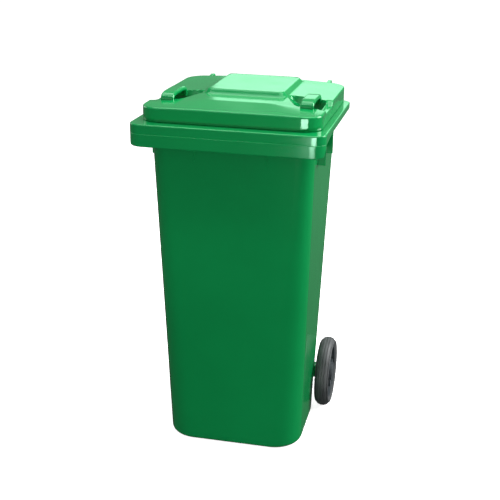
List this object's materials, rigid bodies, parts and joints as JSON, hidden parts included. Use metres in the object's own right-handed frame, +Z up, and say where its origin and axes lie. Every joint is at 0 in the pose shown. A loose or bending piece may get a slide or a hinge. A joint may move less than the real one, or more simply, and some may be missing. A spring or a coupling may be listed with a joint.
{
  "type": "wheelie bin",
  "caption": "Tall two-wheeled refuse bin with a tapered plastic tub, a stepped lifting rim, a hinged lid with hand grips, a rear handle bar and snap-locked wheels.",
  "frame": {"origin": "on the ground, under the middle of the bin's bounding box", "axes": "+Z up, -Y the front, +Y the handle side, +X the right-hand side seen from the front"},
  "size_m": [0.48, 0.55, 0.944],
  "materials": {
    "bin_plastic": "smooth moulded polyethylene, glossy, green",
    "wheel_plastic": "moulded, dark grey, satin",
    "tyre_rubber": "solid rubber, ribbed, worn dull",
    "axle_steel": "zinc plated steel",
    "pin_plastic": "moulded nylon, black",
    "bush_plastic": "natural nylon",
    "spring_steel": "spring wire",
    "buffer_rubber": "soft black rubber"
  },
  "bodies": {
    "container": {"container": "bin_plastic", "axle": "axle_steel", "axle_sleeve_left": "wheel_plastic", "axle_sleeve_right": "wheel_plastic", "hinge_pin_left": "pin_plastic", "hinge_pin_right": "pin_plastic"},
    "lid": {"lid": "bin_plastic", "lid_buffers": "buffer_rubber"},
    "wheel_left": {"tyre_left": "tyre_rubber", "wheel_rim_left": "wheel_plastic", "wheel_bush_left": "bush_plastic", "hub_cap_left": "wheel_plastic", "plunger_plug_left": "pin_plastic", "lock_spring_left": "spring_steel"},
    "lock_left": {"lock_plunger_left": "axle_steel"},
    "wheel_right": {"tyre_right": "tyre_rubber", "wheel_rim_right": "wheel_plastic", "wheel_bush_right": "bush_plastic", "hub_cap_right": "wheel_plastic", "plunger_plug_right": "pin_plastic", "lock_spring_right": "spring_steel"},
    "lock_right": {"lock_plunger_right": "axle_steel"}
  },
  "joints": [
    {"name": "lid_hinge", "type": "hinge", "parent": "container", "child": "lid", "pos_m": [0, 0.258, 0.893], "axis": [-1, 0, 0], "range_deg": [0, 270]},
    {"name": "wheel_left_spin", "type": "hinge", "parent": "container", "child": "wheel_left", "pos_m": [-0.212, 0.106, 0.1], "axis": [1, 0, 0], "continuous": true},
    {"name": "lock_left_pull", "type": "slide", "parent": "wheel_left", "child": "lock_left", "axis": [0, 0, 1], "range_m": [0, 0.003], "stiffness_N_per_m": 600, "springref_m": -0.004, "deforming": ["lock_spring_left"]},
    {"name": "wheel_right_spin", "type": "hinge", "parent": "container", "child": "wheel_right", "pos_m": [0.212, 0.106, 0.1], "axis": [1, 0, 0], "continuous": true},
    {"name": "lock_right_pull", "type": "slide", "parent": "wheel_right", "child": "lock_right", "axis": [0, 0, 1], "range_m": [0, 0.003], "stiffness_N_per_m": 600, "springref_m": -0.004, "deforming": ["lock_spring_right"]}
  ]
}
